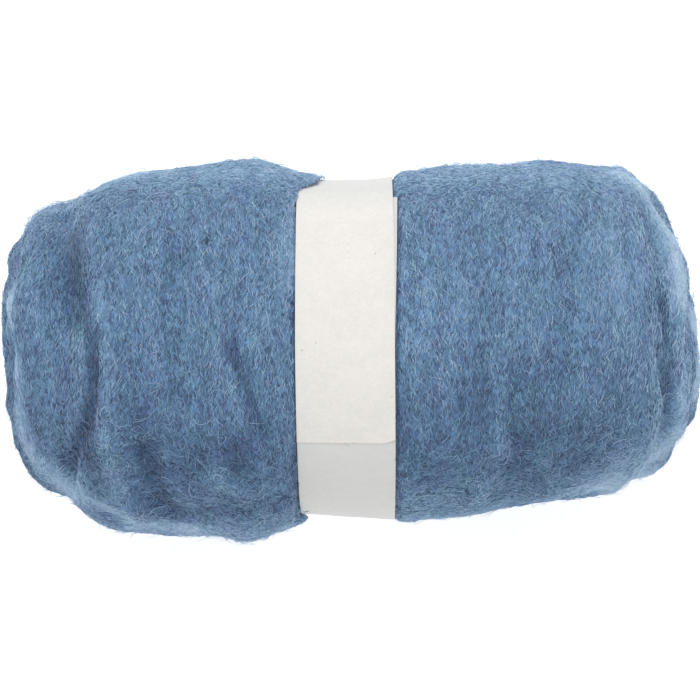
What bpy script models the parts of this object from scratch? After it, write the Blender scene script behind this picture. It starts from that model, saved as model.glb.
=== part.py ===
"""A roll of carded wool: one long soft batt wound up on itself, drawn in at its middle by a paper band.

It lies on its side. Metres, +Z up. The roll's axis runs along X, and the origin is under its middle, on the
surface that it lies on. The tables are in millimetres and degrees. An angle round the roll starts at the back,
+Y, and rises over the top."""

import math
from typing import NamedTuple

import bmesh
import bpy
import numpy as np
from mathutils import Vector, noise

MM = 0.001
SEGMENTS = 64  # faces round the roll


class Section(NamedTuple):
    """The roll's outline where a plane across its axis cuts it. Under the floor it is pressed flat."""

    x: float
    back: float
    front: float
    top: float
    under: float


class Fold(NamedTuple):
    """A soft trough in the wool, or a ridge if its depth is negative, along a path of (x, angle) points."""

    depth: float
    width: float
    path: tuple


class End(NamedTuple):
    """A puffed end: its furthest point, and how square its shoulders are, 2 being an ellipse."""

    x: float
    y: float
    z: float
    squareness: float


LEFT_LOBE = (
    Section(x=-104.0, back=55.5, front=-54.5, top=107.0, under=9.0),
    Section(x=-100.0, back=58.1, front=-58.8, top=111.0, under=5.5),
    Section(x=-94.5, back=61.1, front=-62.9, top=115.0, under=2.0),
    Section(x=-86.3, back=64.4, front=-66.4, top=118.5, under=-0.5),
    Section(x=-77.7, back=67.1, front=-67.4, top=120.5, under=-2.0),
    Section(x=-60.1, back=68.9, front=-68.2, top=122.0, under=-2.5),
    Section(x=-47.8, back=70.8, front=-68.6, top=123.0, under=-2.5),
    Section(x=-38.5, back=71.9, front=-71.2, top=123.0, under=-2.0),
    Section(x=-31.8, back=70.8, front=-69.3, top=121.5, under=-1.0),
    Section(x=-26.0, back=69.0, front=-66.5, top=119.2, under=1.5),
    Section(x=-22.6, back=67.2, front=-64.6, top=117.5, under=2.6),
)
WAIST = (
    Section(x=-20.4, back=63.4, front=-59.7, top=114.0, under=4.5),
    Section(x=17.5, back=63.4, front=-62.2, top=114.0, under=4.5),
)
RIGHT_LOBE = (
    Section(x=19.6, back=67.0, front=-63.4, top=117.0, under=2.6),
    Section(x=30.6, back=68.0, front=-62.2, top=117.5, under=0.0),
    Section(x=43.7, back=70.1, front=-60.9, top=118.5, under=-1.5),
    Section(x=57.2, back=70.8, front=-58.3, top=119.0, under=-2.0),
    Section(x=66.9, back=72.1, front=-56.8, top=119.0, under=-2.0),
    Section(x=81.1, back=70.4, front=-55.1, top=117.5, under=-1.5),
    Section(x=95.3, back=68.8, front=-53.2, top=114.0, under=0.0),
    Section(x=100.0, back=68.5, front=-51.9, top=112.5, under=1.5),
)
LEFT_END = End(x=-130.0, y=12.0, z=58.0, squareness=2.5)
RIGHT_END = End(x=130.0, y=-8.0, z=55.0, squareness=1.75)
RINGS_PER_ROW = 2
END_RINGS = 14
POINTS_PER_LEG = 14  # of a fold's path

FOLDS = {
    "left end valley": Fold(4.6, 7.5, ((-105.7, 26), (-101.2, 70), (-97.5, 109), (-104.2, 149))),
    "left valley, back": Fold(0.8, 8.0, ((-105.7, 26), (-104.0, -20), (-101.0, -60))),
    "left valley, front": Fold(0.8, 8.0, ((-104.2, 149), (-106.0, 185), (-103.0, 225))),
    "right end valley": Fold(4.0, 6.5, ((108.0, 40), (113.6, 68), (115.4, 91), (113.9, 121), (111.7, 145))),
    "right valley, back": Fold(1.2, 7.0, ((108.0, 40), (106.0, 0), (109.0, -50))),
    "right valley, front": Fold(1.2, 7.0, ((111.7, 145), (108.0, 180), (110.0, 225))),
    "front left ridge": Fold(-3.0, 9.0, ((-93.8, 134), (-75.1, 149), (-56.4, 168))),
    "front left trough": Fold(3.2, 8.0, ((-82.6, 132), (-67.6, 151), (-50.8, 153), (-34.0, 143))),
    "left lobe trough": Fold(2.0, 6.5, ((-44.5, 84), (-41.5, 105), (-33.3, 122))),
    "left lobe, back trough": Fold(2.0, 8.0, ((-70.0, -40), (-66.0, 5), (-72.0, 50))),
    "right lobe ridge": Fold(-2.5, 6.0, ((44.5, 158), (52.0, 144), (55.7, 126))),
    "right lobe trough": Fold(2.5, 6.0, ((57.5, 163), (61.3, 142), (63.1, 124))),
    "right lobe, back trough": Fold(2.0, 8.0, ((62.0, -45), (58.0, 0), (64.0, 48))),
    "batt's outer edge, left": Fold(2.5, 4.5, ((-96.0, 196), (-70.0, 190), (-48.0, 194), (-27.0, 188))),
    "batt's outer edge, right": Fold(2.5, 4.5, ((25.0, 190), (50.0, 195), (76.0, 189), (100.0, 196))),
}

# The wound layers show on the end faces as a soft spiral, which fades at its middle and at the shoulders
LAYER_PITCH = 17.0
LAYER_DEPTH = 3.0
END_RADIUS = 56.0
SPIRAL_STARTS = (2.0, 9.0)
SPIRAL_ENDS = (40.0, 55.0)

# The wool is lumpy all over, but smooth where the band presses on it
LUMP_HEIGHT = 1.3
LUMP_SIZE = 21.0
LUMP_FADE = 9.0

# The paper band: one strip, wound once round the waist and lapped over its own start
BAND_WIDTH = 34.8
PAPER = 0.4
CLEARANCE = 0.3
BAND_START = 26.0
BAND_END = 484.0
CLIMB = (370.0, 384.0)  # the strip climbs onto its own start between these angles
BAND_STEPS = 84
BAND_LAY = (  # (angle, x) of the strip's middle
    (26.0, -0.5),
    (90.0, -1.7),
    (180.0, -0.8),
    (386.0, -2.3),
    (450.0, -2.3),
    (484.0, -1.8),
)

WOOL_BLUE = (0.115, 0.205, 0.365, 1.0)
PAPER_WHITE = (0.80, 0.79, 0.76, 1.0)


def material(name, colour, roughness):
    made = bpy.data.materials.new(name)
    made.use_nodes = True
    shader = made.node_tree.nodes["Principled BSDF"]
    shader.inputs["Base Color"].default_value = colour
    shader.inputs["Roughness"].default_value = roughness
    shader.inputs["Metallic"].default_value = 0.0
    return made


def placed_object(name, mesh, finish):
    made = bpy.data.objects.new(name, mesh)
    bpy.context.scene.collection.objects.link(made)
    mesh.materials.append(finish)
    mesh.shade_smooth()
    return made


def smoothstep(low, high, value):
    share = min(max((value - low) / (high - low), 0.0), 1.0)
    return share * share * (3.0 - 2.0 * share)


def rings_through(rows):
    """Sections on a smooth curve through these rows, RINGS_PER_ROW to a row (Catmull-Rom)."""
    known = np.array(rows)
    known = np.vstack([2 * known[0] - known[1], known, 2 * known[-1] - known[-2]])
    rings = []
    for a, b, c, d in zip(known, known[1:], known[2:], known[3:]):
        for step in range(RINGS_PER_ROW):
            t = step / RINGS_PER_ROW
            bend = (2 * a - 5 * b + 4 * c - d) * t**2 + (3 * b - a - 3 * c + d) * t**3
            rings.append(Section(*(b + (c - a) * t / 2 + bend / 2)))
    rings.append(rows[-1])
    return rings


def end_rings(edge, end):
    """Sections from the end's furthest point out to the edge of the lobe, neither of them included."""
    rings = []
    for k in range(1, END_RINGS):
        turn = math.pi / 2 * k / END_RINGS
        size = math.sin(turn) ** (2 / end.squareness)
        reach = math.cos(turn) ** (2 / end.squareness)
        rings.append(
            Section(
                x=edge.x + (end.x - edge.x) * reach,
                back=end.y + (edge.back - end.y) * size,
                front=end.y + (edge.front - end.y) * size,
                top=end.z + (edge.top - end.z) * size,
                under=end.z + (edge.under - end.z) * size,
            )
        )
    return rings


def point_on(section, degrees):
    turn = math.radians(degrees)
    middle_y = (section.back + section.front) / 2
    middle_z = (section.top + section.under) / 2
    y = middle_y + (section.back - middle_y) * math.cos(turn)
    z = middle_z + (section.top - middle_z) * math.sin(turn)
    return Vector((section.x, y, z))


def wool_rings():
    left_end = end_rings(LEFT_LOBE[0], LEFT_END)
    right_end = end_rings(RIGHT_LOBE[-1], RIGHT_END)
    lobes = rings_through(LEFT_LOBE) + list(WAIST) + rings_through(RIGHT_LOBE)
    return left_end + lobes + right_end[::-1]


def fold_route(fold, rings):
    """Points close together along the fold, on the roll's even surface."""
    rings_x = [ring.x for ring in rings]
    legs = len(fold.path) - 1
    route = []
    for share in np.linspace(0, legs, POINTS_PER_LEG * legs + 1):
        x = np.interp(share, range(legs + 1), [point[0] for point in fold.path])
        degrees = np.interp(share, range(legs + 1), [point[1] for point in fold.path])
        sizes = [np.interp(x, rings_x, [ring[i] for ring in rings]) for i in range(5)]
        route.append(point_on(Section(*sizes), degrees))
    return np.array(route)


def wound_layers(end, edge, point):
    """How deep the spiral between two layers of the batt is at a point of the roll's end."""
    across = (point.y - end.y) / (edge.back - edge.front)
    up = (point.z - end.z) / (edge.top - edge.under)
    radius = 2 * END_RADIUS * math.hypot(across, up)
    turn = math.atan2(up, across) / (2 * math.pi)
    groove = (0.5 + 0.5 * math.cos(2 * math.pi * (radius / LAYER_PITCH - turn))) ** 2
    return LAYER_DEPTH * groove * smoothstep(*SPIRAL_STARTS, radius) * (1 - smoothstep(*SPIRAL_ENDS, radius))


def press_folds(mesh, rings):
    """Moves the even roll's surface in and out: folds, end spirals and lumps."""
    mesh.normal_update()
    points = np.array([vertex.co for vertex in mesh.verts])
    sunk = np.zeros(len(points))
    for fold in FOLDS.values():
        route = fold_route(fold, rings)
        apart = np.linalg.norm(points[:, None] - route[None], axis=2).min(axis=1)
        share = fold.depth * np.exp(-((apart / fold.width) ** 2))
        sunk = np.maximum(sunk, share) if fold.depth > 0 else sunk + share
    for vertex, depth in zip(mesh.verts, sunk):
        spot = vertex.co
        from_band = max(WAIST[0].x - spot.x, spot.x - WAIST[1].x)
        free = smoothstep(0.0, LUMP_FADE, from_band)
        lump = LUMP_HEIGHT * noise.noise(spot / LUMP_SIZE)
        if spot.x < LEFT_LOBE[0].x:
            depth += wound_layers(LEFT_END, LEFT_LOBE[0], spot)
        elif spot.x > RIGHT_LOBE[-1].x:
            depth += wound_layers(RIGHT_END, RIGHT_LOBE[-1], spot)
        vertex.co = spot + vertex.normal * free * (lump - depth)


def wool_roll(finish):
    """A sphere with its poles at the two ends and a ring of points for each section, drawn out to the roll."""
    rings = wool_rings()
    bands = len(rings) + 1
    mesh = bmesh.new()
    bmesh.ops.create_uvsphere(mesh, u_segments=SEGMENTS, v_segments=bands, radius=1.0)
    for vertex in mesh.verts:
        along, y, z = vertex.co.z, vertex.co.x, vertex.co.y
        ring = round(math.acos(min(max(-along, -1.0), 1.0)) / math.pi * bands)
        if ring == 0:
            vertex.co = LEFT_END[:3]
        elif ring == bands:
            vertex.co = RIGHT_END[:3]
        else:
            vertex.co = point_on(rings[ring - 1], math.degrees(math.atan2(z, y)))
    press_folds(mesh, rings)
    for vertex in mesh.verts:
        vertex.co.z = max(vertex.co.z, 0.0)
    bmesh.ops.scale(mesh, verts=mesh.verts, vec=(MM, MM, MM))
    data = bpy.data.meshes.new("wool_roll")
    mesh.to_mesh(data)
    mesh.free()
    return placed_object("wool_roll", data, finish)


def paper_band(finish, roll):
    """A flat grid bent round the waist, with its second pass lifted over its start, given a thickness."""
    waist_x = [section.x for section in WAIST]
    middle = Vector((0.0, (WAIST[0].back + WAIST[0].front) / 2, (WAIST[0].top + WAIST[0].under) / 2))
    mesh = bmesh.new()
    bmesh.ops.create_grid(mesh, x_segments=BAND_STEPS, y_segments=2, size=1.0)
    for vertex in mesh.verts:
        degrees = BAND_START + (BAND_END - BAND_START) * (vertex.co.x + 1) / 2
        x = np.interp(degrees, *zip(*BAND_LAY)) + vertex.co.y * BAND_WIDTH / 2
        waist = Section(*(np.interp(x, waist_x, [section[i] for section in WAIST]) for i in range(5)))
        turn = math.radians(degrees)
        half_y = (waist.back - waist.front) / 2
        half_z = (waist.top - waist.under) / 2
        outward = Vector((0.0, math.cos(turn) / half_y, math.sin(turn) / half_z)).normalized()
        off = CLEARANCE + (PAPER + CLEARANCE) * smoothstep(*CLIMB, degrees)
        on_waist = point_on(waist, degrees) + outward * off
        vertex.co = (Vector((x, on_waist.y, on_waist.z)) - middle) * MM
    data = bpy.data.meshes.new("paper_band")
    mesh.to_mesh(data)
    mesh.free()
    band = placed_object("paper_band", data, finish)
    band.location = middle * MM
    band.parent = roll
    wall = band.modifiers.new("paper", "SOLIDIFY")
    wall.thickness = PAPER * MM
    wall.offset = 1.0
    wall.use_even_offset = True
    return band


def centre_over_origin(roll):
    """Sets the roll down with the middle of its outline over the origin."""
    points = np.array([vertex.co for vertex in roll.data.vertices])
    middle = (points.min(axis=0) + points.max(axis=0)) / 2
    roll.location = (-middle[0], -middle[1], 0.0)


for old in list(bpy.data.objects):
    bpy.data.objects.remove(old)
wool = wool_roll(material("carded wool", WOOL_BLUE, 0.95))
paper_band(material("plain paper", PAPER_WHITE, 0.85), wool)
centre_over_origin(wool)
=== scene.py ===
"""A roll of carded wool with its paper band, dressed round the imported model. Metres, +Z up, roll along X."""

import math

import bmesh
import bpy
import numpy as np
from mathutils import Matrix, Vector, noise
from mathutils.bvhtree import BVHTree


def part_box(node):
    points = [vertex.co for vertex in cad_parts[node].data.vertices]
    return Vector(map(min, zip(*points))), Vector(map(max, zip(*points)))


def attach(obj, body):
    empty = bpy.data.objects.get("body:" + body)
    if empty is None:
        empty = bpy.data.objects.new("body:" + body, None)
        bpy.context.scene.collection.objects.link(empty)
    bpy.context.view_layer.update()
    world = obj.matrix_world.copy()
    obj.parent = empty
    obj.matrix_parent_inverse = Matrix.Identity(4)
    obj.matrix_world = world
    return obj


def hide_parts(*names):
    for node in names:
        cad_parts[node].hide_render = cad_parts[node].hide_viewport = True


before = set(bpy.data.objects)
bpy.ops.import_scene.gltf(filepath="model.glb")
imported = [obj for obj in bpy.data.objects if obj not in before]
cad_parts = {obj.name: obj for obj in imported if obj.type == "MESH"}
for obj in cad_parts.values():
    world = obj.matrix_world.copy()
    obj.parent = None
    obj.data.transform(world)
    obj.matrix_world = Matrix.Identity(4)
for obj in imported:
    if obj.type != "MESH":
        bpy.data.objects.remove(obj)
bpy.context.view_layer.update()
MM = 0.001

# The roll
# One batt of carded wool, a thick soft sheet of combed fibres, wound up on itself. Its surface is laid over
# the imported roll, then pressed into the finer folds and hollows that the photograph shows.
AROUND = 300
ALONG = 260
END_SHARE = 0.29  # of the points from tip to tip lie on each end
END_CENTRE = 50 * MM  # in from the tip
AXIS_Z = 58.5 * MM
GIRTH_RADIUS = 62 * MM  # turns an angle round the roll into a length
TIP_TO_TIP = 380 * MM  # over the roll's side
SMOOTHING = 12
EDGE_SMOOTHING = 3  # near the band, where the wool turns sharply down to it
EDGE_REACH = 6 * MM
EDGE_HELD = 0.3 * MM  # beside the band, where the wool isn't smoothed
LOOSE_FROM = 5 * MM  # from the band, clumps, lumps and folds show in full
CLUMP_LENGTH = 14 * MM
CLUMP_WIDTH = 3.2 * MM
CLUMP_HEIGHT = 0.32 * MM
LUMP_SIZE = 10 * MM
LUMP_HEIGHT = 0.5 * MM
STREAK_LENGTH = 38 * MM
STREAK_WIDTH = 5.5 * MM
STREAK_SHARE = 0.32

CAMERA_HEIGHT = 0.75  # over the roll's axis
EYE = Vector((-0.25 * MM, 0.07 * MM, AXIS_Z + CAMERA_HEIGHT))
DRAWN_IN = 0.995

# The waist that the band draws in
WAIST_LEFT = -20.3 * MM
WAIST_RIGHT = 17.6 * MM
WAIST = ((-20.28, 62.9, -60.2), (17.62, 62.9, -62.7))  # x, back and front
WAIST_Z = 59.25 * MM
WAIST_HALF_Z = 54.75 * MM

# Folds as the camera sees them, in millimetres at the axis's height:
# name, depth (a ridge is below zero), width, points (x, y)
FINE_FOLDS = (
    ("left end dimple", 1.1, 3.0, ((-105.7, 51.0), (-104.5, 47.5))),
    ("left end hollow", 2.2, 7.0, ((-104.0, 28.0), (-103.0, 13.0))),
    ("left end crease, behind", 1.4, 3.0, ((-95.5, 6.0), (-96.5, -4.0))),
    ("left end crease", 2.8, 3.2, ((-96.5, -8.0), (-97.0, -18.5), (-100.0, -30.0), (-104.0, -46.0))),
    ("left lobe soft trough", 1.2, 4.0, ((-66.0, 38.0), (-64.0, 8.0), (-68.0, -14.0))),
    ("left lobe dark streak", 1.6, 2.8, ((-44.5, 2.0), (-41.3, -9.3), (-37.0, -23.0), (-33.5, -30.0))),
    ("left lobe bend by the band", 0.7, 3.0, ((-35.0, -24.0), (-29.5, -38.0), (-27.0, -50.0))),
    ("front left upper ridge", -1.9, 4.0, ((-92.5, -33.0), (-89.0, -45.0), (-85.0, -54.5), (-78.0, -63.0))),
    ("front left deep trough", 2.1, 4.0, ((-78.5, -38.0), (-75.5, -45.0), (-72.0, -53.5), (-66.0, -60.5))),
    ("front left trough under the lip", 0.5, 4.0, ((-64.0, -61.0), (-50.0, -59.0), (-38.0, -58.0))),
    ("front left hollow", 1.2, 4.5, ((-76.5, -38.0), (-70.0, -45.0))),
    ("front right hollow of the left lobe", 1.8, 5.0, ((-42.5, -38.0), (-41.0, -44.0))),
    ("front left lip", -1.2, 3.5, ((-52.0, -47.0), (-40.0, -53.0), (-30.0, -62.0))),
    ("top edge ridge of the left lobe", -0.3, 4.0, ((-72.0, 62.0), (-50.0, 64.0), (-32.0, 66.0))),
    ("small hole, upper", 1.6, 1.3, ((-57.2, 61.5), (-57.0, 61.2))),
    ("small hole, lower", 1.6, 1.2, ((-53.8, 41.3), (-53.6, 41.0))),
    ("right end crease, upper", 1.6, 4.2, ((111.5, 44.0), (115.0, 22.0), (118.0, 3.0))),
    ("right end crease, lower", 2.4, 3.0, ((115.5, 0.0), (118.3, -16.0), (117.5, -33.0))),
    ("right end lip", -1.3, 4.0, ((121.5, 4.0), (123.0, -14.0), (121.5, -28.0))),
    ("right lobe ridge", -1.1, 3.5, ((56.0, -30.0), (54.5, -44.0), (50.0, -53.0), (44.0, -57.0))),
    ("right lobe hollow", 0.7, 5.0, ((60.5, -29.0), (59.0, -43.0), (55.0, -54.0))),
    ("right lobe dark patch", 0.9, 4.5, ((88.0, -40.0), (91.0, -45.0))),
    ("right lobe soft trough", 0.5, 6.0, ((48.0, 20.0), (50.0, -6.0), (46.0, -28.0))),
    ("right lobe soft trough, outer", 0.7, 6.0, ((80.0, 44.0), (82.0, 16.0), (79.0, -12.0))),
    ("right corner tuft", -1.3, 3.6, ((101.5, 67.0), (103.0, 69.0))),
    ("left tip, inward to the front", 2.6, 12.0, ((-129.0, -2.0), (-126.0, -26.0), (-121.0, -46.0))),
    ("left tip, whole", 3.2, 14.0, ((-130.0, 24.0), (-130.0, -8.0))),
    ("left tip, below its middle", 0.9, 8.0, ((-130.0, 4.0), (-130.0, -16.0))),
    ("left shoulder, behind", 1.5, 7.0, ((-129.5, 31.0), (-127.5, 39.0))),
    ("left lobe, back edge", 2.6, 6.5, ((-50.0, 71.0), (-46.0, 71.5))),
    ("left lobe, back corner", 1.1, 8.0, ((-101.0, 58.0), (-88.0, 64.5))),
    ("left lobe, front edge by the end", 2.3, 8.0, ((-90.0, -63.0), (-78.0, -67.0), (-62.0, -68.0))),
    ("right lobe, back edge", 1.2, 8.0, ((76.0, 71.0), (93.0, 70.0))),
    ("right lobe, front edge", 1.1, 7.0, ((33.0, -61.5), (60.0, -59.0), (90.0, -54.0))),
    ("left lobe, back edge by the end", -0.8, 6.0, ((-76.0, 68.0), (-66.0, 69.0))),
    ("left end, back corner", -0.7, 5.0, ((-108.0, 54.5), (-101.0, 56.0))),
    ("right shoulder, behind", 2.5, 6.0, ((115.5, 54.0), (119.0, 49.0))),
    ("right end, front corner", 2.0, 6.0, ((119.5, -37.5), (114.5, -43.0))),
    ("right end, front of the tip", -1.4, 6.0, ((128.0, -26.0), (125.5, -31.0))),
)

# A painted glow on the thin rims and on ridges, painted shade in creases, hollows, holes and behind ridges,
# and a little of the wool's own paler and darker tone
# Painted light and shade on the wool, in the same way: name, share (darker is below zero), width, points (x,
# y)
PAINTED_SHADING_AND_TONE = (
    (
        "thin wool at the lower right rim", 2.3, 8.5,
        ((97.0, -51.0), (106.0, -48.0), (114.0, -42.0), (120.0, -35.0)),
    ),
    ("thin wool inside it", 0.9, 9.0, ((88.0, -50.0), (100.0, -45.0), (110.0, -38.0), (121.0, -22.0))),
    ("rim in front, right lobe", 1.0, 9.0, ((22.0, -63.5), (42.0, -61.5), (60.0, -58.0), (82.0, -55.0))),
    ("left lobe, front", 1.3, 7.0, ((-101.0, -53.0), (-91.0, -60.5), (-78.0, -67.0), (-60.0, -68.5))),
    (
        "rim of the left end", 2.0, 7.0,
        ((-129.0, 22.0), (-128.5, -10.0), (-127.0, -26.0), (-119.0, -43.0), (-105.0, -54.0)),
    ),
    ("right shoulder", 1.5, 6.5, ((103.0, 65.0), (110.0, 59.0), (117.0, 50.0))),
    ("rim of the right end, behind", 1.8, 7.5, ((120.0, 43.0), (122.5, 33.0), (124.0, 22.0))),
    ("rim of the right end", 2.6, 6.0, ((128.0, 12.0), (130.0, 0.0), (130.0, -14.0))),
    ("over the band's back corner", 1.6, 4.5, ((-18.0, 64.0), (-12.0, 64.5))),
    ("corner in front, left lobe", 0.7, 4.0, ((-95.0, -57.0), (-90.0, -62.0))),
    ("inside the right end's rim", 0.15, 8.0, ((102.0, 58.0), (104.0, 42.0), (107.0, 28.0))),
    ("pale patch by the right end", 0.3, 7.0, ((92.0, 42.0), (100.0, 30.0), (103.0, 22.0))),
    ("rim behind the left end", 0.9, 5.0, ((-118.0, 50.0), (-105.0, 57.0), (-91.0, 63.0), (-80.0, 67.0))),
    ("right end bulge", 0.3, 4.5, ((122.5, 12.0), (125.0, -4.0), (125.0, -14.0))),
    ("ridge in front of the left end", 0.42, 3.6, ((-92.0, 16.0), (-91.5, -12.0), (-90.5, -34.0))),
    ("right lobe, a little paler than the left", 0.11, 55.0, ((40.0, 20.0), (100.0, 10.0))),
    ("ridge in front, left lobe", 0.4, 3.8, ((-89.0, -43.0), (-86.0, -53.0))),
    ("left lobe beside the band, behind", 0.7, 3.0, ((-22.5, 56.0), (-23.0, 40.0), (-23.0, 26.0))),
    ("pale line beside the dark streak", 0.3, 2.4, ((-48.8, 0.0), (-43.5, -20.0), (-30.0, -38.0))),
    ("right lobe, pale streak by the band", 0.18, 4.0, ((36.0, 42.0), (37.0, 26.0), (39.0, 16.0))),
    ("right lobe, front corner by the band", 0.5, 8.0, ((22.0, -56.0), (34.0, -57.0))),
    ("right lobe ridge", 0.25, 3.0, ((55.5, -28.0), (57.0, -38.0), (51.0, -50.0))),
    ("right lobe, darker by the band", -0.32, 7.5, ((23.0, -14.0), (24.0, -40.0))),
    ("right lobe, darker behind its ridge", -0.2, 9.0, ((42.0, -22.0), (44.0, -38.0))),
    ("dark middle of the right lobe", -0.42, 14.0, ((64.0, -14.0), (70.0, -28.0), (78.0, -34.0))),
    ("right lobe, soft dark streak", -0.3, 4.5, ((44.0, 44.0), (47.5, 26.0), (50.0, 14.0))),
    ("right lobe, darker half-way", -0.17, 11.0, ((90.0, -2.0), (102.0, -12.0))),
    ("left lobe, darker beside the ridge", -0.3, 6.0, ((-83.0, 0.0), (-82.0, -16.0), (-80.0, -30.0))),
    ("dark patch, front left", -0.6, 5.5, ((-75.5, -41.0), (-74.0, -48.0), (-70.0, -57.0))),
    ("dark patch between the lips", -0.4, 6.5, ((-60.0, -44.0), (-47.0, -36.0), (-41.0, -44.0))),
    ("dark streak, left lobe", -0.6, 3.0, ((-44.5, 1.0), (-41.3, -9.3), (-37.0, -23.0), (-33.5, -30.0))),
    ("left end hollow", -1.05, 7.0, ((-103.5, 43.0), (-102.5, 30.0), (-101.5, 15.0))),
    (
        "left end crease", -0.85, 3.2,
        ((-95.5, 5.0), (-96.5, -10.0), (-98.5, -24.0), (-101.0, -34.0), (-104.0, -46.0)),
    ),
    ("left end crease, its dark front", -0.9, 5.0, ((-97.5, -29.0), (-98.5, -41.0))),
    ("right end crease", -0.6, 3.2, ((116.5, 22.0), (119.0, 0.0), (118.5, -18.0), (117.5, -34.0))),
    ("right hollow", -0.15, 4.0, ((112.0, 38.0), (115.0, 16.0))),
    ("left end fold", 0.1, 12.0, ((-121.0, 40.0), (-119.0, 0.0), (-116.0, -32.0))),
    ("small hole, upper", -1.4, 1.3, ((-57.2, 61.5), (-57.0, 61.2))),
    ("small hole, lower", -1.2, 1.3, ((-53.8, 41.3), (-53.6, 41.0))),
)

# Where loose fibres stand out of the wool most, in the same way
RAGGED = (
    ("over the band's back corner", 12.0, 3.5, ((-19.0, 64.0), (-12.5, 64.5))),
    ("over the band's front corner", 8.0, 2.5, ((-20.0, -59.0), (-18.0, -61.0))),
    ("left end, behind", 8.0, 6.0, ((-124.0, 46.0), (-114.0, 52.0), (-104.0, 55.0))),
    ("left tip", 6.0, 5.0, ((-130.0, 27.0), (-130.0, 18.0))),
    ("right corner tuft", 7.0, 2.5, ((101.5, 68.0), (104.0, 68.0))),
    ("right fringe", 8.0, 3.5, ((113.0, 59.0), (117.0, 51.0))),
    ("thin wool at the lower right rim", 7.0, 5.0, ((104.0, -50.0), (116.0, -42.0), (124.0, -33.0))),
    ("right lobe, front edge", 6.0, 4.0, ((48.0, -60.0), (57.0, -58.0))),
    ("front left lip", 6.0, 3.0, ((-45.0, -70.0), (-32.0, -70.0))),
)
EDGE_SHADE = (1.3 * MM, -0.9)  # beside the band, where the wool turns down to it: reach and share
EDGE_DEPTH = (1.0 * MM, 2.2 * MM)  # over the waist, where that shade ends
EDGE_FADE = (62 * MM, 48 * MM)  # toward the back, where it fades
LEFT_FADES_SOONER = 34 * MM
# Painted light and shade: a glow along the rims behind and in front, and shade on the front side, turned from
# the lamps
BACK_RIM_PAINTED_GLOW = (53 * MM, 67 * MM, 0.68)  # painted glow: the wool is paler from here to here, by this share
FRONT_RIM_PAINTED_GLOW = (-57 * MM, -68 * MM, 1.0)
FRONT_PAINTED_SHADE = (4 * MM, -30 * MM, -0.27)
FROM_ABOVE = (15 * MM, 40 * MM)  # the three of them come in between these heights


def smooth_share(low, high, value):
    share = np.clip((value - low) / (high - low), 0.0, 1.0)
    return share * share * (3.0 - 2.0 * share)


def mesh_object(name, made, smooth=True):
    """The finished piece of a bmesh, its place in its mesh."""
    data = bpy.data.meshes.new(name)
    made.to_mesh(data)
    made.free()
    return piece_of(name, data, smooth)


def piece_of(name, data, smooth=True):
    piece = bpy.data.objects.new(name, data)
    bpy.context.scene.collection.objects.link(piece)
    if smooth:
        data.shade_smooth()
    return piece


def places_of(made):
    return np.array([vertex.co for vertex in made.verts])


def sort_faces(made):
    """Puts the faces in one lasting order, because a new mesh may have them in another one at each run."""
    made.verts.index_update()
    in_order = sorted(made.faces, key=lambda face: sorted(vertex.index for vertex in face.verts))
    rank = {face: place for place, face in enumerate(in_order)}
    made.faces.sort(key=lambda face: rank[face])


packed_roll = bmesh.new()
packed_roll.from_mesh(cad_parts["wool_roll"].data)
bmesh.ops.remove_doubles(packed_roll, verts=packed_roll.verts, dist=0.001 * MM)
packed_skin = BVHTree.FromBMesh(packed_roll)
packed_roll.free()
roll_low, roll_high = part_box("wool_roll")
left_centre = roll_low.x + END_CENTRE
right_centre = roll_high.x - END_CENTRE

wool = bmesh.new()
bmesh.ops.create_uvsphere(wool, u_segments=AROUND, v_segments=ALONG, radius=1.0)
sort_faces(wool)
bmesh.ops.rotate(wool, verts=wool.verts, cent=(0, 0, 0), matrix=Matrix.Rotation(math.pi / 2, 3, "Y"))
straight_part = math.pi / 2 * (1 - 2 * END_SHARE)
route_along = []
for vertex in wool.verts:
    latitude = math.asin(min(max(vertex.co.x, -1.0), 1.0))
    outward = Vector((0.0, vertex.co.y, vertex.co.z))
    outward = outward.normalized() if outward.length > 1e-6 else Vector((0.0, 0.0, 0.0))
    share = latitude / straight_part
    start_x = left_centre + (right_centre - left_centre) * min(max((share + 1) / 2, 0.0), 1.0)
    if abs(latitude) > straight_part:
        past = (abs(latitude) - straight_part) / (math.pi / 2 - straight_part) * math.pi / 2
        outward = outward * math.cos(past) + Vector((math.copysign(math.sin(past), latitude), 0.0, 0.0))
    start = Vector((start_x, 0.0, AXIS_Z))
    vertex.co = packed_skin.ray_cast(start, outward.normalized())[0]
    route_along.append(latitude / math.pi)
beyond = {v: max(WAIST_LEFT - v.co.x, v.co.x - WAIST_RIGHT) for v in wool.verts}
far_wool = [v for v, distance in beyond.items() if distance > EDGE_REACH]
near_wool = [v for v, distance in beyond.items() if distance > EDGE_HELD]
ALL_WAYS = {"use_axis_x": True, "use_axis_y": True, "use_axis_z": True}
for some, rounds in ((near_wool, EDGE_SMOOTHING), (far_wool, SMOOTHING - EDGE_SMOOTHING)):
    for _ in range(rounds):
        bmesh.ops.smooth_vert(wool, verts=some, factor=0.5, **ALL_WAYS)
wool.normal_update()
even_skin = BVHTree.FromBMesh(wool)


def seen_at(x, y):
    """The point of the roll that the camera sees at a place, in millimetres at the axis's height. A place
    outside the roll's outline is drawn in until it meets it."""
    found = None
    while found is None:
        aim = Vector((x * MM, y * MM, AXIS_Z))
        found = even_skin.ray_cast(EYE, (aim - EYE).normalized())[0]
        x, y = x * DRAWN_IN, y * DRAWN_IN
    return found


def lie_along(table):
    """A table's paths laid on the roll: amount, width and points close together."""
    laid = []
    for _, amount, width, path in table:
        corners = np.array([seen_at(*place) for place in path])
        shares = np.linspace(0, len(corners) - 1, 10 * len(corners) - 9)
        route = np.stack([np.interp(shares, range(len(corners)), corners[:, i]) for i in range(3)], axis=1)
        laid.append((amount, width * MM, route))
    return laid


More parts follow.
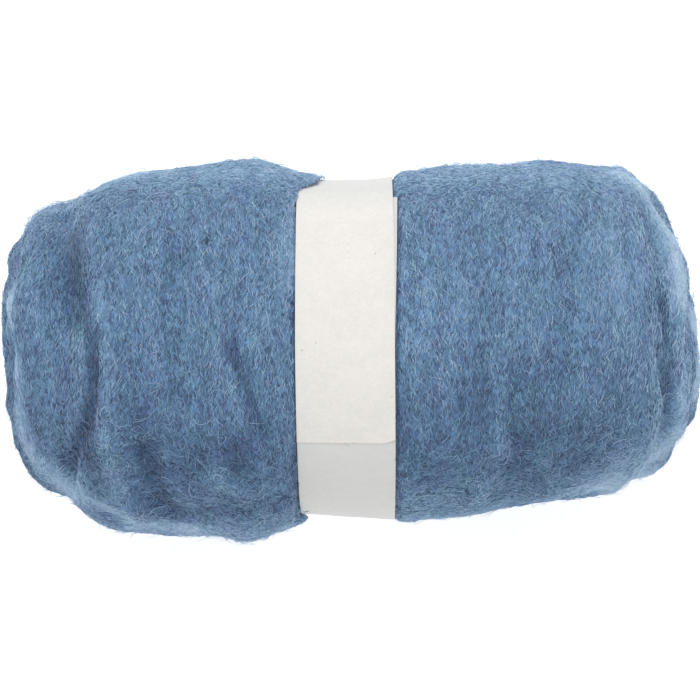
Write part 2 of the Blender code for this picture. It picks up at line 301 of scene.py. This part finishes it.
def felt_at(points, laid):
    """How much of a table's amounts there is at each point, fading away from each path."""
    total = np.zeros(len(points))
    for amount, width, route in laid:
        apart = np.linalg.norm(points[:, None] - route[None], axis=2).min(axis=1)
        total += amount * np.exp(-((apart / width) ** 2))
    return total


folds = lie_along(FINE_FOLDS)
painted_shading_and_tone = lie_along(PAINTED_SHADING_AND_TONE)
ragged = lie_along(RAGGED)


def waist_at(x):
    """The middle and the half of the waist's depth, front to back."""
    back = np.interp(x, [row[0] * MM for row in WAIST], [row[1] * MM for row in WAIST])
    front = np.interp(x, [row[0] * MM for row in WAIST], [row[2] * MM for row in WAIST])
    return (back + front) / 2, (back - front) / 2


def off_waist(x, y, z):
    """How far outside the waist's surface a point is."""
    middle_y, half_y = waist_at(x)
    return (np.hypot((y - middle_y) / half_y, (z - WAIST_Z) / WAIST_HALF_Z) - 1) * half_y


def way_round(points):
    """How far round the roll each point is, from its underside."""
    turns = np.arctan2(points[:, 2] - AXIS_Z, points[:, 1])
    return (turns + math.pi / 2) % (2 * math.pi) * GIRTH_RADIUS


def painted_shading_and_streaks(points):
    """How much paler, or below zero darker, the wool is painted at each point: a painted glow on its rims and
    ridges, painted shade in its creases and hollows, on its front side and beside the band, and the wool's own
    streaks.
    """
    pale = felt_at(points, painted_shading_and_tone)
    upper = smooth_share(*FROM_ABOVE, points[:, 2])
    # painted glow on the rims, painted shade on the front side
    for low, high, amount in (BACK_RIM_PAINTED_GLOW, FRONT_RIM_PAINTED_GLOW, FRONT_PAINTED_SHADE):
        pale += amount * smooth_share(low, high, points[:, 1]) * upper
    beside = np.maximum(WAIST_LEFT - points[:, 0], points[:, 0] - WAIST_RIGHT) / EDGE_SHADE[0]
    deep = 1 - smooth_share(*EDGE_DEPTH, off_waist(*points.T))
    fading = np.where(points[:, 0] < 0, points[:, 1] + LEFT_FADES_SOONER, points[:, 1])
    deep *= smooth_share(*EDGE_FADE, fading)
    pale += EDGE_SHADE[1] * np.exp(-np.maximum(beside, 0.0) ** 2) * deep
    streaks = []
    for a, b in zip(way_round(points) / STREAK_LENGTH, points[:, 0] / STREAK_WIDTH):
        streak = noise.noise(Vector((a, b, 0.0))) + 0.6 * noise.noise(Vector((2 * a, 2.3 * b, 4.0)))
        streaks.append(streak)
    return pale + STREAK_SHARE * np.array(streaks)


points = places_of(wool)
arc = way_round(points)
meridian = np.array(route_along) * TIP_TO_TIP
sunk = felt_at(points, folds) * MM
vertex_shading_and_streaks = painted_shading_and_streaks(points) - 0.25 * np.clip(sunk / (2 * MM), -1.0, 1.5)  # painted shade in a fold's hollow, painted light on a ridge
loose = smooth_share(0.0, LOOSE_FROM, np.maximum(WAIST_LEFT - points[:, 0], points[:, 0] - WAIST_RIGHT))
for vertex, a, m, depth, give in zip(wool.verts, arc, meridian, sunk, loose):
    clump = noise.noise(Vector((a / CLUMP_LENGTH, m / CLUMP_WIDTH, 0.0)))
    clump += 0.5 * noise.noise(Vector((a / CLUMP_LENGTH * 1.9, m / CLUMP_WIDTH * 2.1, 5.0)))
    lump = noise.noise(vertex.co / LUMP_SIZE)
    vertex.co += vertex.normal * give * (clump * CLUMP_HEIGHT + lump * LUMP_HEIGHT - depth)

# The wool beside the band presses against the paper's edges, and at two corners it swells over them
STRIP_WIDTH = 34.5 * MM
STRIP_START = 31.0
STRIP_END = 482.7
STRIP_LAY = (  # degrees round the waist, from the back over the top, and the middle of the strip
    (30, -0.5),
    (56, -1.08),
    (80, -1.75),
    (90, -1.95),
    (125, -1.5),
    (180, -0.85),
    (386, -2.15),
    (450, -1.98),
    (484, -1.6),
)
EDGE_GAP = 0.25 * MM
HUG = 9 * MM  # the wool this near to the band follows the paper's edges
UNCOVERED_RISE = 1.6 * MM  # at most, of wool that the paper leaves free over the waist
TUCK = 0.1 * MM  # of the wool under the paper
NEAR_BAND = (-40 * MM, 36 * MM)
SWELL_FROM = (1.2 * MM, 2.4 * MM)  # over the waist, so that the wool under the paper doesn't swell
THINNED_TO = 1.3 * MM  # over the waist

# Where the wool swells over an edge of the band: place, how far and how thinly, and reach, in millimetres
SWELLS = (
    ((-20.5, 57.0, 87.0), 2.5, 0.3, 8.0),
    ((-20.5, 62.5, 72.0), 10.0, 0.6, 11.0),
    ((-20.5, 65.0, 54.0), 7.0, 0.6, 15.0),
    ((-20.5, 62.0, 30.0), 4.0, 0.5, 17.0),
    ((-20.5, -64.0, 56.0), 4.2, 0.1, 9.0),
)


def strip_lay(degrees):
    return np.interp(degrees, *zip(*STRIP_LAY)) * MM


def round_waist(x, y, z):
    """The angle of a point round the waist, in degrees from the back over the top."""
    middle_y, half_y = waist_at(x)
    return np.degrees(np.arctan2((z - WAIST_Z) / WAIST_HALF_Z, (y - middle_y) / half_y)) % 360


def band_edges(degrees):
    """The paper's left and right edge at an angle round the roll, both passes taken together."""
    lays = [strip_lay(turn) for turn in (degrees, degrees + 360) if STRIP_START <= turn <= STRIP_END]
    return min(lays) - STRIP_WIDTH / 2, max(lays) + STRIP_WIDTH / 2


for vertex, give in zip(wool.verts, loose):
    spot = vertex.co
    if not NEAR_BAND[0] < spot.x < NEAR_BAND[1]:
        spot.z = max(spot.z, 0.0)
        continue
    degrees = round_waist(*spot)
    over = off_waist(*spot)
    left_edge, right_edge = band_edges(degrees)
    if spot.x < WAIST_LEFT + TUCK:
        hug = 1 - smooth_share(0.0, HUG, WAIST_LEFT - spot.x)
        spot.x += (left_edge - EDGE_GAP - WAIST_LEFT) * hug
    elif spot.x > WAIST_RIGHT - TUCK:
        hug = 1 - smooth_share(0.0, HUG, spot.x - WAIST_RIGHT)
        spot.x += (right_edge + EDGE_GAP - WAIST_RIGHT) * hug
    else:
        uncovered = max(left_edge - spot.x, spot.x - right_edge, 0.0)
        vertex.co += vertex.normal * (min(uncovered, UNCOVERED_RISE) - TUCK)
    for place, push, thinning, reach in SWELLS:
        apart = (spot - Vector(place) * MM).length / (reach * MM)
        swell = math.exp(-(apart**4)) * smooth_share(*SWELL_FROM, over)
        from_axis = Vector((0.0, spot.y, spot.z - WAIST_Z)).normalized()
        spot += Vector((push * MM * swell, 0.0, 0.0)) - from_axis * swell * thinning * (over - THINNED_TO)
    spot.z = max(spot.z, 0.0)
wool.normal_update()
wool_skin = BVHTree.FromBMesh(wool)

# Where the fibres are tangled, as seen from above, in millimetres: x, y, reach
TANGLES = (
    (-70.0, -46.0, 22.0),
    (-45.0, -50.0, 18.0),
    (-98.0, -46.0, 10.0),
    (58.0, -48.0, 16.0),
    (92.0, -44.0, 16.0),
    (30.0, -50.0, 14.0),
    (120.0, -30.0, 12.0),
)


def tangled(points):
    """How far the fibres are out of their lie at each point, from 0 to 1: wholly so at the back edge."""
    most = smooth_share(50 * MM, 62 * MM, points[:, 1])
    for x, y, reach in TANGLES:
        apart = np.hypot(points[:, 0] - x * MM, points[:, 1] - y * MM) / (reach * MM)
        most = np.maximum(most, np.exp(-(apart**2)) * (points[:, 2] > 20 * MM))
    return np.clip(most, 0.0, 1.0)


# Its map runs round the roll in u and from end to end in v, both in metres
wool_map = wool.loops.layers.uv.new("lie")
FULL_TURN = 2 * math.pi * GIRTH_RADIUS
for face in wool.faces:
    spans = [arc[loop.vert.index] for loop in face.loops]
    wraps = max(spans) - min(spans) > FULL_TURN / 2
    for loop, a in zip(face.loops, spans):
        loop[wool_map].uv = (a + FULL_TURN if wraps and a < FULL_TURN / 2 else a, meridian[loop.vert.index])
# The painted light and shade with the wool's streaks, and how tangled the fibres are, kept on the points
for name, values in (("painted_shade_and_streak", vertex_shading_and_streaks), ("tangle", tangled(points))):
    layer = wool.verts.layers.float.new(name)
    for vertex, value in zip(wool.verts, values):
        vertex[layer] = value
wool_roll = mesh_object("wool_surface", wool)


class Value:
    """A socket of a finish, so that shader maths is written as Python."""

    def __init__(self, finish, socket):
        self.finish = finish
        self.socket = socket

    def maths(self, operation, first, second=0.0):
        return self.finish.node("Math", {0: first, 1: second}, operation=operation)

    def __add__(self, other):
        return self.maths("ADD", self, other)

    __radd__ = __add__

    def __sub__(self, other):
        return self.maths("SUBTRACT", self, other)

    def __rsub__(self, other):
        return self.maths("SUBTRACT", other, self)

    def __mul__(self, other):
        return self.maths("MULTIPLY", self, other)

    __rmul__ = __mul__

    def __or__(self, other):
        """The greater of the two."""
        return self.maths("MAXIMUM", self, other)

    def __abs__(self):
        return self.maths("ABSOLUTE", self)


class Finish:
    """A material, with node() for every node but the maths that Value writes."""

    def __init__(self, name, **fixed):
        self.material = bpy.data.materials.new(name)
        self.material.use_nodes = True
        self.tree = self.material.node_tree
        self.shader = self.tree.nodes["Principled BSDF"]
        for socket, value in fixed.items():
            self.shader.inputs[socket.replace("_", " ")].default_value = value

    def node(self, kind, sockets=None, out=0, stops=(), **settings):
        made = self.tree.nodes.new("ShaderNode" + kind)
        for name, value in settings.items():
            setattr(made, name, value)
        for spare in list(stops)[2:]:
            made.color_ramp.elements.new(spare[0])
        for element, (place, colour) in zip(made.color_ramp.elements if stops else (), stops):
            element.position = place
            element.color = (*colour, 1.0)
        for name, value in (sockets or {}).items():
            self.link(value, made.inputs[name])
        return Value(self, made.outputs[out])

    def link(self, value, socket):
        if isinstance(value, Value):
            self.tree.links.new(value.socket, socket)
        else:
            socket.default_value = value

    def surface(self, **sockets):
        for socket, value in sockets.items():
            self.link(value, self.shader.inputs[socket.replace("_", " ")])

    def grain(self, where, scale, detail=2.0, roughness=0.55, out=0):
        """Noise between 0 and 1, or a colour of three such noises."""
        sockets = {"Vector": where, "Scale": scale, "Detail": detail, "Roughness": roughness}
        return self.node("TexNoise", sockets, out=out)

    def shifted(self, where, by):
        return self.node("VectorMath", {0: where, 1: by}, operation="ADD")

    def sway(self, position, scale, reach):
        """A soft wandering shift of up to this reach."""
        wander = self.grain(position, scale, detail=1.0, out=1)
        centred = self.node("VectorMath", {0: wander, 1: (0.5, 0.5, 0.5)}, operation="SUBTRACT")
        return self.node("VectorMath", {0: centred, "Scale": reach}, operation="SCALE")

    def fibre_lines(self, lie, degrees, length, width, seed, share=0.13):
        """Thin bright lines that run one way, where a drawn-out noise crosses its middle value."""
        way = self.node(
            "Mapping",
            {
                "Vector": lie,
                "Location": (seed, seed * 0.7, 0.0),
                "Rotation": (0.0, 0.0, math.radians(degrees)),
                "Scale": (length * MM, width * MM, 1.0),
            },
            vector_type="TEXTURE",
        )
        crossing = abs(self.grain(way, 1.0, detail=1.0, roughness=0.4) - 0.5)
        sockets = {"Value": crossing, "From Min": 0.0, "From Max": share, "To Min": 1.0, "To Max": 0.0}
        return self.node("MapRange", sockets, interpolation_type="SMOOTHSTEP")


WOOL_DARK = (0.020, 0.052, 0.128)
WOOL_DEEP = (0.050, 0.115, 0.245)
WOOL_MIDDLE = (0.112, 0.218, 0.390)
WOOL_LIGHT = (0.245, 0.400, 0.612)
WOOL_PALE = (0.540, 0.690, 0.860)


def wool_finish(name, sheen):
    """Dull blue fibre, with the soft glow that fine hairs give at a glancing angle."""
    return Finish(
        name, Roughness=0.92, Sheen_Weight=sheen, Sheen_Roughness=0.55, Sheen_Tint=(0.80, 0.88, 1.0, 1.0)
    )


wool_base = wool_finish("carded wool", 0.5)
position = wool_base.node("TexCoord", out=3)
lie = wool_base.shifted(wool_base.node("UVMap", uv_map="lie"), wool_base.sway(position, 70.0, 7 * MM))
lie = wool_base.shifted(lie, wool_base.sway(position, 420.0, 1.3 * MM))
tangle = wool_base.node("Attribute", attribute_name="tangle", out=2)
straight = wool_base.fibre_lines(lie, 5, 6, 0.85, 1.0)
straight = straight | wool_base.fibre_lines(lie, -16, 5, 0.8, 2.0) * 0.85
straight = straight | wool_base.fibre_lines(lie, 30, 5, 1.1, 3.0) * 0.7
crossed = wool_base.fibre_lines(lie, -58, 5, 0.9, 4.0) | wool_base.fibre_lines(lie, 80, 5, 0.9, 5.0)
lines = straight | crossed * tangle
fine_way = wool_base.node("Mapping", {"Vector": lie, "Scale": (500.0, 2800.0, 1.0)})
fine = wool_base.grain(fine_way, 1.0, detail=2.0)
patches = wool_base.grain(position, 48.0, detail=2.0)
# painted light and shade, with the wool's own streaks, kept on the points
painted_shade_and_streak = wool_base.node("Attribute", attribute_name="painted_shade_and_streak", out=2)
tone_and_painted_shade = lines * 0.46 + fine * 0.44 + patches * 0.14 + painted_shade_and_streak * 0.28 - 0.23
wool_colour = wool_base.node(
    "ValToRGB",
    {"Fac": tone_and_painted_shade},
    stops=((0.06, WOOL_DARK), (0.22, WOOL_DEEP), (0.44, WOOL_MIDDLE), (0.70, WOOL_LIGHT), (1.0, WOOL_PALE)),
)
dye = wool_base.grain(position, 190.0, detail=2.0)
wool_colour = wool_base.node("HueSaturation", {"Hue": dye * 0.05 + 0.470, "Color": wool_colour})
wool_bump = wool_base.node(
    "Bump", {"Height": lines * 0.5 + fine * 0.5, "Strength": 0.9, "Distance": 0.45 * MM}
)
wool_base.surface(Base_Color=wool_colour, Normal=wool_bump)
wool_roll.data.materials.append(wool_base.material)
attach(wool_roll, "root")
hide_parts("wool_roll")

# The surface fibres
# Carding leaves the wool as single crimped fibres and thin locks, which lie mostly round the roll and cross
# each other. Each is a thin pointed strand, combed in with the rest, so its two ends are sunk in the wool.
TIDY_TURN = 11.0  # degrees, out of the way round the roll
TANGLED_TURN = 60.0
ENDS_SUNK = 0.10  # millimetres
OFF_TABLE = 0.3 * MM
random = np.random.default_rng(41)


def strand_seed(bands):
    """A three-sided sphere, as arrays of its points' bands and corners and of its triangles."""
    seed = bmesh.new()
    bmesh.ops.create_uvsphere(seed, u_segments=3, v_segments=bands, radius=1.0)
    bmesh.ops.triangulate(seed, faces=seed.faces)
    sort_faces(seed)
    spots = places_of(seed)
    faces = np.array([[vertex.index for vertex in face.verts] for face in seed.faces])
    seed.free()
    band = np.rint(np.arccos(np.clip(-spots[:, 2], -1, 1)) / math.pi * bands).astype(int)
    corner = spots[:, :2] / np.maximum(np.linalg.norm(spots[:, :2], axis=1), 1e-3)[:, None]
    return band, corner, faces


def drift(spots, size):
    """A soft change from place to place, between -1 and 1."""
    return np.array([noise.noise(Vector(spot) / size) for spot in spots])


def strands(name, paths, outward, thickness, tones):
    """One mesh of pointed strands, each bent along its own path."""
    steps = paths.shape[1] - 1
    band, corner, faces = strand_seed(steps)
    heading = np.gradient(paths, axis=1)
    heading /= np.maximum(np.linalg.norm(heading, axis=2), 1e-9)[..., None]
    side = np.cross(heading, outward)
    side /= np.maximum(np.linalg.norm(side, axis=2), 1e-9)[..., None]
    up = np.cross(side, heading)
    taper = np.sin(np.linspace(0, math.pi, steps + 1)) ** 0.4
    wide = taper[band][None, :, None] * thickness[:, None, None] / 2
    spots = paths[:, band] + wide * (side[:, band] * corner[:, :1] + up[:, band] * corner[:, 1:])
    count = len(band)
    every_face = (faces[None] + count * np.arange(len(paths))[:, None, None]).reshape(-1, 3)
    data = bpy.data.meshes.new(name)
    data.from_pydata(spots.reshape(-1, 3), [], every_face)
    dyes = 0.5 + 0.9 * drift(paths[:, 0], 9 * MM) + random.normal(0.0, 0.15, len(paths))
    # each strand's own tone together with its painted light and shade
    for label, values in (("tone_and_painted_shade", tones), ("dye", dyes)):
        kept = data.attributes.new(label, "FLOAT", "POINT")
        kept.data.foreach_set("value", np.repeat(values, count).astype(np.float32))
    return piece_of(name, data)


def trace(starts, headings, bend, stride, steps):
    """Walks over the wool from each start, turning a little at each step: the places and the normals."""
    paths = np.empty((len(starts), steps + 1, 3))
    outward = np.empty_like(paths)
    for i, (start, heading) in enumerate(zip(starts, headings)):
        spot = Vector(start)
        ahead = Vector(heading)
        for k in range(steps + 1):
            spot, normal, _, _ = wool_skin.find_nearest(spot)
            paths[i, k] = spot
            outward[i, k] = normal
            ahead = ahead - normal * ahead.dot(normal)
            ahead.normalize()
            ahead = ahead * math.cos(bend[i, k]) + normal.cross(ahead) * math.sin(bend[i, k])
            spot = spot + ahead * stride[i]
    return paths, outward


face_count = len(wool_roll.data.polygons)
face_area = np.empty(face_count)
wool_roll.data.polygons.foreach_get("area", face_area)
face_middle = np.empty(face_count * 3)
wool_roll.data.polygons.foreach_get("center", face_middle)
face_middle = face_middle.reshape(-1, 3)
face_normal = np.empty(face_count * 3)
wool_roll.data.polygons.foreach_get("normal", face_normal)
face_normal = face_normal.reshape(-1, 3)


def combed(spots, normals, turned):
    """The way round the roll at each place, turned by an angle in degrees."""
    from_axis = spots - np.array([0.0, 0.0, AXIS_Z])
    round_it = np.cross(np.array([1.0, 0.0, 0.0]), from_axis)
    round_it -= normals * (round_it * normals).sum(axis=1)[:, None]
    round_it /= np.maximum(np.linalg.norm(round_it, axis=1), 1e-9)[:, None]
    turned = np.radians(turned)[:, None]
    return round_it * np.cos(turned) + np.cross(normals, round_it) * np.sin(turned)


def lay_fibres(name, count, weight, steps, length, thickness, tones, lift, crimp, rise=0.0, curl=0.0):
    """Strands laid at random where the weight is. Sizes are in millimetres, crimp and curl in degrees a
    step, and the tones are the two numbers of a beta distribution."""
    picked = random.choice(face_count, count, p=weight / weight.sum())
    spots = face_middle[picked] + random.uniform(-0.7, 0.7, (count, 3)) * MM
    normals = face_normal[picked]
    tangle = tangled(spots)
    turned = random.normal(0.0, 1.0, count) * (TIDY_TURN + (TANGLED_TURN - TIDY_TURN) * tangle)
    turned += 18 * drift(spots, 24 * MM) + 180 * random.integers(0, 2, count)
    bend = random.normal(0.0, 1.0, (count, steps + 1)) * np.radians(6 + 12 * tangle)[:, None]
    bend += random.normal(0.0, 1.0, (count, 1)) * np.radians(5 + 14 * tangle)[:, None]
    phase = random.uniform(0, 2 * math.pi, (count, 1))
    phase = phase + random.uniform(1.4, 2.4, (count, 1)) * np.arange(steps + 1)
    bend += np.radians(crimp) * np.cos(phase)
    bend += np.radians(curl) * random.choice([-1, 1], (count, 1)) * random.uniform(0.5, 1.1, (count, 1))
    stride = random.uniform(*length, count) * MM / steps
    paths, outward = trace(spots, combed(spots, normals, turned), bend, stride, steps)
    arch = np.sin(np.linspace(0, math.pi, steps + 1)) ** 0.7
    over = arch[None, :] * random.uniform(*lift, count)[:, None] - ENDS_SUNK
    over += rise * random.uniform(0.2, 1.0, (count, 1)) ** 2 * np.linspace(0, 1, steps + 1)[None, :] ** 1.6
    paths = paths + outward * (over * MM)[..., None]
    paths[..., 2] = np.maximum(paths[..., 2], OFF_TABLE)
    # painted light and shade as on the wool: where it is painted paler, the strands' own tones spread less
    pale = painted_shading_and_streaks(spots)
    even = np.clip(pale, 0.0, 1.0)
    shade = random.beta(*tones, count) * (1 - 0.6 * even) + 0.4 * pale + 0.27 * even
    # painted shade in the folds' hollows, painted light on their ridges
    shade -= 0.1 * np.clip(felt_at(spots, folds), -1.0, 1.5)
    return strands(name, paths, outward, random.uniform(*thickness, count) * MM, shade)


fibre_finish = wool_finish("single wool fibres", 0.28)
# each strand's own tone with its painted light and shade
strand_tone_and_painted_shade = fibre_finish.node("Attribute", attribute_name="tone_and_painted_shade", out=2)
own_dye = fibre_finish.node("Attribute", attribute_name="dye", out=2)
spot_tone = fibre_finish.grain(fibre_finish.node("TexCoord", out=3), 48.0, detail=2.0)
fibre_colour = fibre_finish.node(
    "ValToRGB",
    {"Fac": strand_tone_and_painted_shade * 0.90 + spot_tone * 0.14 - 0.05},
    stops=((0.0, WOOL_DARK), (0.2, WOOL_DEEP), (0.42, WOOL_MIDDLE), (0.72, WOOL_LIGHT), (1.0, WOOL_PALE)),
)
fibre_colour = fibre_finish.node("HueSaturation", {"Hue": own_dye * 0.03 + 0.480, "Color": fibre_colour})
fibre_finish.surface(Base_Color=fibre_colour)


def place_wool(piece):
    piece.data.materials.append(fibre_finish.material)
    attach(piece, "root")


CLEAR_OF_PAPER = 0.4 * MM
OVER_PAPER = 1.9 * MM
edges = np.array([band_edges(degrees) for degrees in range(361)])
on_waist_at = round_waist(*face_middle.T)
left_edge = np.interp(on_waist_at, range(361), edges[:, 0])
right_edge = np.interp(on_waist_at, range(361), edges[:, 1])
clear_of_band = face_middle[:, 0] < left_edge - CLEAR_OF_PAPER
clear_of_band |= face_middle[:, 0] > right_edge + CLEAR_OF_PAPER
clear_of_band |= off_waist(*face_middle.T) > OVER_PAPER
showing = 0.12 + 0.88 * smooth_share(-0.5, 0.3, face_normal[:, 2])
weight = face_area * clear_of_band * showing
on_left = face_middle[:, 0] < 0
LOW_FIBRES = {
    "count": 30500,
    "steps": 2,
    "length": (1.8, 4.2),
    "thickness": (0.24, 0.38),
    "tones": (0.55, 0.7),
    "lift": (0.08, 0.30),
    "crimp": 12.0,
}
HIGH_FIBRES = {
    "count": 15500,
    "steps": 3,
    "length": (2.9, 6.3),
    "thickness": (0.20, 0.31),
    "tones": (1.5, 0.75),
    "lift": (0.22, 0.50),
    "crimp": 28.0,
}
LOOSE_FIBRES = {
    "count": 1800,
    "steps": 6,
    "length": (4.0, 10.0),
    "thickness": (0.14, 0.22),
    "tones": (5.0, 1.2),
    "lift": (0.3, 0.8),
    "crimp": 26.0,
    "rise": 2.6,
}
CURLS = {
    "count": 780,
    "steps": 8,
    "length": (8.0, 16.0),
    "thickness": (0.17, 0.25),
    "tones": (3.0, 0.9),
    "lift": (0.35, 0.70),
    "crimp": 8.0,
    "curl": 28.0,
}
for side, where in (("left", weight * on_left), ("right", weight * ~on_left)):
    place_wool(lay_fibres(side + "_fibres_low", weight=where, **LOW_FIBRES))
    place_wool(lay_fibres(side + "_fibres_high", weight=where, **HIGH_FIBRES))
steep = 1 - smooth_share(0.15, 0.6, np.abs(face_normal[:, 2]))
edge_on = steep * (face_middle[:, 2] > 25 * MM) + 0.1
from_band = np.maximum(left_edge - face_middle[:, 0], face_middle[:, 0] - right_edge)
edge_on *= smooth_share(1.0 * MM, 6.0 * MM, from_band) + felt_at(face_middle, ragged)
place_wool(lay_fibres("loose_fibres", weight=weight * edge_on, **LOOSE_FIBRES))
most_tangled = weight * tangled(face_middle) * (face_middle[:, 1] < 0)
place_wool(lay_fibres("curled_fibres", weight=most_tangled, **CURLS))

# The paper band
# One strip of plain uncoated paper, wound once round the roll's waist and lapped over its own start. It draws
# the wool in, and the second pass lies a little askew on the first.
CLIMB = (370.0, 384.0)
PAPER = 0.22 * MM
PASS_GAP = 0.25 * MM
LAP_GAP = 0.08 * MM
CUT_ASKEW = 0.00175  # of its length, by which the strip's end is out of square
TORN = 0.0035  # of its length, by which one corner of the end is torn
TORN_LIFT = 0.3 * MM
STEPS_ALONG = 230
STEPS_ACROSS = 18
RIPPLE = 0.22 * MM
CREASE = 0.05 * MM
DEEPEST = -0.15 * MM
BACK_FLARE = 1.3 * MM  # the strip's edges stand out at the back, where the wool beside it lifts them

strip = bmesh.new()
bmesh.ops.create_grid(strip, x_segments=STEPS_ALONG, y_segments=STEPS_ACROSS, size=1.0)
strip_map = strip.loops.layers.uv.new("strip")
for face in strip.faces:
    for loop in face.loops:
        loop[strip_map].uv = ((loop.vert.co.x + 1) / 2, (loop.vert.co.y + 1) / 2)
for vertex in strip.verts:
    along = (vertex.co.x + 1) / 2
    across = vertex.co.y
    cut_end = smooth_share(0.97, 1.0, along)
    torn = smooth_share(0.80, 1.0, across) * cut_end
    cut_askew = CUT_ASKEW * (1 + across) * cut_end
    degrees = STRIP_START + (STRIP_END - STRIP_START) * (along - TORN * torn - cut_askew)
    x = strip_lay(degrees) + across * STRIP_WIDTH / 2
    turn = math.radians(degrees)
    middle_y, half_y = waist_at(x)
    on_waist = Vector((x, middle_y + half_y * math.cos(turn), WAIST_Z + WAIST_HALF_Z * math.sin(turn)))
    outward = Vector((0.0, math.cos(turn) / half_y, math.sin(turn) / WAIST_HALF_Z)).normalized()
    climb = smooth_share(*CLIMB, degrees)
    settled = smooth_share(STRIP_START, STRIP_START + 8, degrees)
    ripple = noise.noise(Vector((along * 30.0, across * 1.3, 3.0))) * RIPPLE
    crease = noise.noise(Vector((along * 95.0, across * 2.5, 8.0))) * CREASE
    flare = BACK_FLARE * abs(across) ** 2.5 * max(math.cos(turn), 0.0) ** 3
    off = PASS_GAP + settled * max(ripple + crease, DEEPEST) + flare
    off += (PAPER + LAP_GAP) * climb + torn * TORN_LIFT
    vertex.co = on_waist + outward * off
bmesh.ops.recalc_face_normals(strip, faces=strip.faces)
strip_centre = Vector((0.0, 0.0, WAIST_Z))
if sum((face.calc_center_median() - strip_centre).dot(face.normal) for face in strip.faces) < 0:
    bmesh.ops.reverse_faces(strip, faces=strip.faces)
bmesh.ops.solidify(strip, geom=strip.faces[:], thickness=-PAPER)
bmesh.ops.recalc_face_normals(strip, faces=strip.faces)
sort_faces(strip)
paper_band = mesh_object("paper_strip", strip)
paper_band.data.set_sharp_from_angle(angle=math.radians(50))

PAPER_WARM = (0.825, 0.79, 0.745)
PAPER_COOL = (0.690, 0.694, 0.670)  # where it lies on the wool alone
PULP_GREY = (0.55, 0.53, 0.50)
FLECK_BROWN = (0.34, 0.30, 0.27)
paper = Finish("plain off-white paper", Roughness=0.82, Specular_IOR_Level=0.3)
strip_way = paper.node("UVMap", uv_map="strip")
paper_place = paper.node("TexCoord", out=3)
along_strip = paper.node("SeparateXYZ", {0: strip_way}, out=0)
backed = (STRIP_END - 360.0 - STRIP_START) / (STRIP_END - STRIP_START)
lapping = {"Value": along_strip, "From Min": 0.985 - backed, "From Max": 1.02 - backed}
on_top = paper.node("MapRange", lapping)
clouds = paper.grain(paper_place, 70.0, detail=3.0)
mottle = paper.grain(paper_place, 330.0, detail=3.0, roughness=0.65)
pulp = paper.grain(paper_place, 1100.0, detail=3.0, roughness=0.7)
flecks = paper.node("TexVoronoi", {"Vector": paper_place, "Scale": 210.0})
fleck = paper.node(
    "MapRange", {"Value": flecks, "From Min": 0.04, "From Max": 0.09, "To Min": 1.0, "To Max": 0.0}
)
rarity = paper.grain(paper_place, 160.0, detail=0.0)
rare = paper.node("Math", {0: rarity, 1: 0.56}, operation="GREATER_THAN")


def paper_blend(share, first, second):
    return paper.node("Mix", {0: share, 6: first, 7: second}, out=2, data_type="RGBA")


paper_colour = paper_blend(on_top, (*PAPER_COOL, 1.0), (*PAPER_WARM, 1.0))
greyed = clouds * 0.25 + mottle * 0.4 + pulp * 0.6 - 0.35
paper_colour = paper_blend(greyed, paper_colour, (*PULP_GREY, 1.0))
paper_colour = paper_blend(fleck * rare * 0.6, paper_colour, (*FLECK_BROWN, 1.0))
relief = clouds * 0.5 + mottle * 0.4 + pulp * 0.2
paper_bump = paper.node("Bump", {"Height": relief, "Strength": 0.5, "Distance": 0.2 * MM})
paper.surface(Base_Color=paper_colour, Normal=paper_bump)
paper_band.data.materials.append(paper.material)
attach(paper_band, "root")
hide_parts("paper_band")

# Floor, light and camera
# A plain white table seen from straight above, lit by soft boxes, the larger one beyond the roll's back.
PHOTO_SIZE = 700
PHOTO_SCALE = 0.3736 * MM  # a pixel at the height of the roll's axis
SENSOR = 36.0

floor_mesh = bmesh.new()
bmesh.ops.create_grid(floor_mesh, x_segments=1, y_segments=1, size=3.0)
floor = mesh_object("floor", floor_mesh, smooth=False)
floor_finish = Finish(
    "white table",
    Base_Color=(0.82, 0.82, 0.82, 1.0),
    Roughness=0.6,
    Emission_Color=(1.0, 1.0, 1.0, 1.0),
    Emission_Strength=0.48,
)
floor.data.materials.append(floor_finish.material)


def soft_box(name, place, size, power):
    light = bpy.data.lights.new(name, "AREA")
    light.shape = "RECTANGLE"
    light.size, light.size_y = size
    light.energy = power
    lamp = bpy.data.objects.new(name, light)
    lamp.location = place
    lamp.rotation_euler = (Vector(place) - Vector((0.0, 0.0, 0.06))).to_track_quat("Z", "Y").to_euler()
    bpy.context.scene.collection.objects.link(lamp)


soft_box("back light", (-0.20, 0.95, 1.25), (1.0, 0.7), 11.5)
soft_box("front light", (0.3, -1.0, 1.2), (1.4, 1.0), 5.5)
world = bpy.data.worlds.new("studio")
world.use_nodes = True
sky = world.node_tree.nodes["Background"]
sky.inputs["Color"].default_value = (0.96, 0.98, 1.0, 1.0)
sky.inputs["Strength"].default_value = 0.655
bpy.context.scene.world = world

lens = bpy.data.cameras.new("camera")
lens.sensor_width = SENSOR
lens.lens = SENSOR * CAMERA_HEIGHT / (PHOTO_SIZE * PHOTO_SCALE)
camera = bpy.data.objects.new("camera", lens)
camera.location = EYE
bpy.context.scene.collection.objects.link(camera)
bpy.context.scene.camera = camera
bpy.context.scene.view_settings.view_transform = "Standard"
